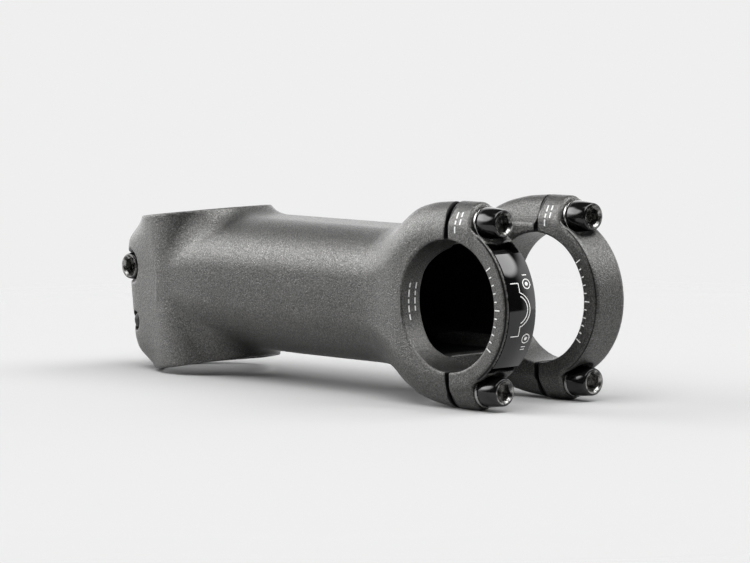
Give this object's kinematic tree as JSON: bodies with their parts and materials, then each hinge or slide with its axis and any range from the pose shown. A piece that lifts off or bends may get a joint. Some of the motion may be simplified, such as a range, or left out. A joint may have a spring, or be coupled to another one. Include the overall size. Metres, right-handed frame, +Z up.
{
  "type": "handlebar stem",
  "caption": "Threadless bicycle stem, 110 mm and seven degrees, hollow, with two separate bar clamp caps and opposed steerer bolts.",
  "frame": {"origin": "centre of the footprint, on the table that the stem lies on", "axes": "+X from the steerer clamp to the bar clamp, +Y to the rider's left along the bar, +Z up"},
  "size_m": [0.1526, 0.0412, 0.05],
  "materials": {
    "body_paint": "matte charcoal paint with a fine sparkling grain, on forged aluminium",
    "bolt_black": "glossy black coated steel",
    "washer_steel": "dark polished steel",
    "label_gloss": "gloss black film with thin white lines"
  },
  "bodies": {
    "stem": {"stem_body": "body_paint"},
    "right_cap": {"right_cap": "body_paint", "right_cap_upper_washer": "washer_steel", "right_cap_lower_washer": "washer_steel", "clamp_label": "label_gloss"},
    "right_cap_upper_bolt": {"right_cap_upper_bolt": "bolt_black"},
    "right_cap_lower_bolt": {"right_cap_lower_bolt": "bolt_black"},
    "left_cap": {"left_cap": "body_paint", "left_cap_upper_washer": "washer_steel", "left_cap_lower_washer": "washer_steel"},
    "left_cap_upper_bolt": {"left_cap_upper_bolt": "bolt_black"},
    "left_cap_lower_bolt": {"left_cap_lower_bolt": "bolt_black"},
    "steerer_upper_washer": {"steerer_upper_washer": "washer_steel"},
    "steerer_upper_bolt": {"steerer_upper_bolt": "bolt_black"},
    "steerer_lower_washer": {"steerer_lower_washer": "washer_steel"},
    "steerer_lower_bolt": {"steerer_lower_bolt": "bolt_black"}
  },
  "joints": [
    {"name": "right_cap_slide", "type": "slide", "parent": "stem", "child": "right_cap", "axis": [1, 0, 0], "range_m": [0, 0.012]},
    {"name": "right_cap_upper_bolt_turn", "type": "hinge", "parent": "right_cap", "child": "right_cap_upper_bolt", "pos_m": [0.06385, -0.01528, 0.0451], "axis": [1, 0, 0], "range_deg": [0, 5400]},
    {"name": "right_cap_lower_bolt_turn", "type": "hinge", "parent": "right_cap", "child": "right_cap_lower_bolt", "pos_m": [0.06385, -0.01528, 0.0049], "axis": [1, 0, 0], "range_deg": [0, 5400]},
    {"name": "left_cap_slide", "type": "slide", "parent": "stem", "child": "left_cap", "axis": [1, 0, 0], "range_m": [0, 0.012]},
    {"name": "left_cap_upper_bolt_turn", "type": "hinge", "parent": "left_cap", "child": "left_cap_upper_bolt", "pos_m": [0.06385, 0.01528, 0.0451], "axis": [1, 0, 0], "range_deg": [0, 5400]},
    {"name": "left_cap_lower_bolt_turn", "type": "hinge", "parent": "left_cap", "child": "left_cap_lower_bolt", "pos_m": [0.06385, 0.01528, 0.0049], "axis": [1, 0, 0], "range_deg": [0, 5400]},
    {"name": "steerer_upper_bolt_slide", "type": "slide", "parent": "stem", "child": "steerer_upper_washer", "axis": [0, -1, 0], "range_m": [0, 0.012]},
    {"name": "steerer_upper_bolt_turn", "type": "hinge", "parent": "steerer_upper_washer", "child": "steerer_upper_bolt", "pos_m": [-0.07233, -0.0062, 0.02688], "axis": [0, -1, 0], "range_deg": [0, 5400]},
    {"name": "steerer_lower_bolt_slide", "type": "slide", "parent": "stem", "child": "steerer_lower_washer", "axis": [0, 1, 0], "range_m": [0, 0.012]},
    {"name": "steerer_lower_bolt_turn", "type": "hinge", "parent": "steerer_lower_washer", "child": "steerer_lower_bolt", "pos_m": [-0.0707, 0.0062, 0.01257], "axis": [0, 1, 0], "range_deg": [0, 5400]}
  ],
  "couplings": [
    {"joint": "right_cap_upper_bolt_turn", "follows": "right_cap_slide", "rad_per_m": 7854},
    {"joint": "right_cap_lower_bolt_turn", "follows": "right_cap_slide", "rad_per_m": 7854},
    {"joint": "left_cap_upper_bolt_turn", "follows": "left_cap_slide", "rad_per_m": 7854},
    {"joint": "left_cap_lower_bolt_turn", "follows": "left_cap_slide", "rad_per_m": 7854},
    {"joint": "steerer_upper_bolt_turn", "follows": "steerer_upper_bolt_slide", "rad_per_m": 7854},
    {"joint": "steerer_lower_bolt_turn", "follows": "steerer_lower_bolt_slide", "rad_per_m": 7854}
  ]
}
